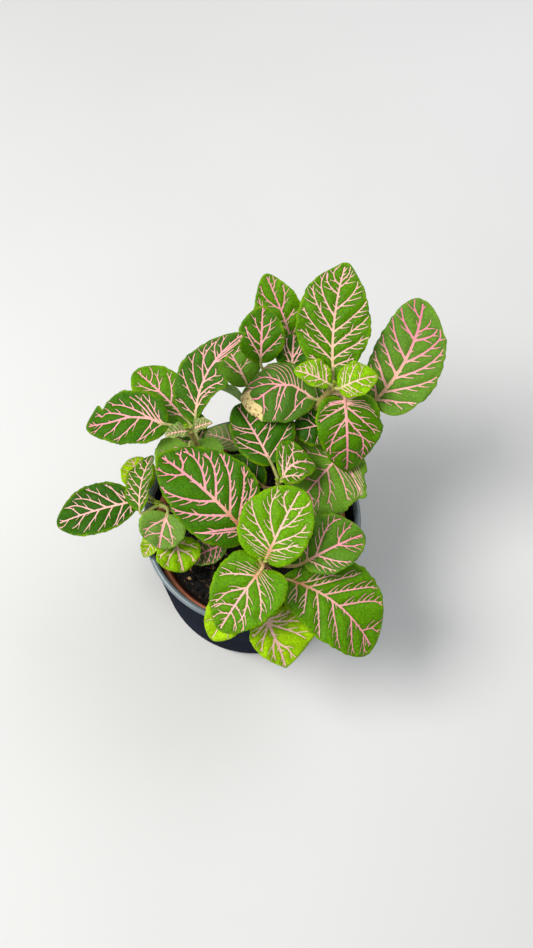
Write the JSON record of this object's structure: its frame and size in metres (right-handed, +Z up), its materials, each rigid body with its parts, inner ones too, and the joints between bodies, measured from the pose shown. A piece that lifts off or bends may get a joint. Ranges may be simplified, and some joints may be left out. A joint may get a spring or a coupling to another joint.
{
  "type": "potted nerve plant",
  "caption": "Low leafy house plant with broad vein-patterned leaves on creeping shoots, growing in a thin nursery pot set inside a straight round cover pot.",
  "frame": {"origin": "middle of the cover pot's flat underside, which rests on the table", "axes": "+Z up, -Y towards the side that the plant is seen from, +X to the right from that side"},
  "size_m": [0.1697, 0.1684, 0.1514],
  "materials": {
    "cover_pot": "gloss",
    "nursery_pot": "satin",
    "soil": "matte",
    "leaves": "satin"
  },
  "bodies": {
    "root": {"cover_pot": "cover_pot", "nursery_pot": "nursery_pot", "soil": "soil", "shoot_back_right": "leaves", "shoot_back": "leaves", "shoot_left": "leaves", "shoot_front": "leaves", "shoot_front_left": "leaves", "shoot_middle": "leaves"}
  },
  "joints": []
}
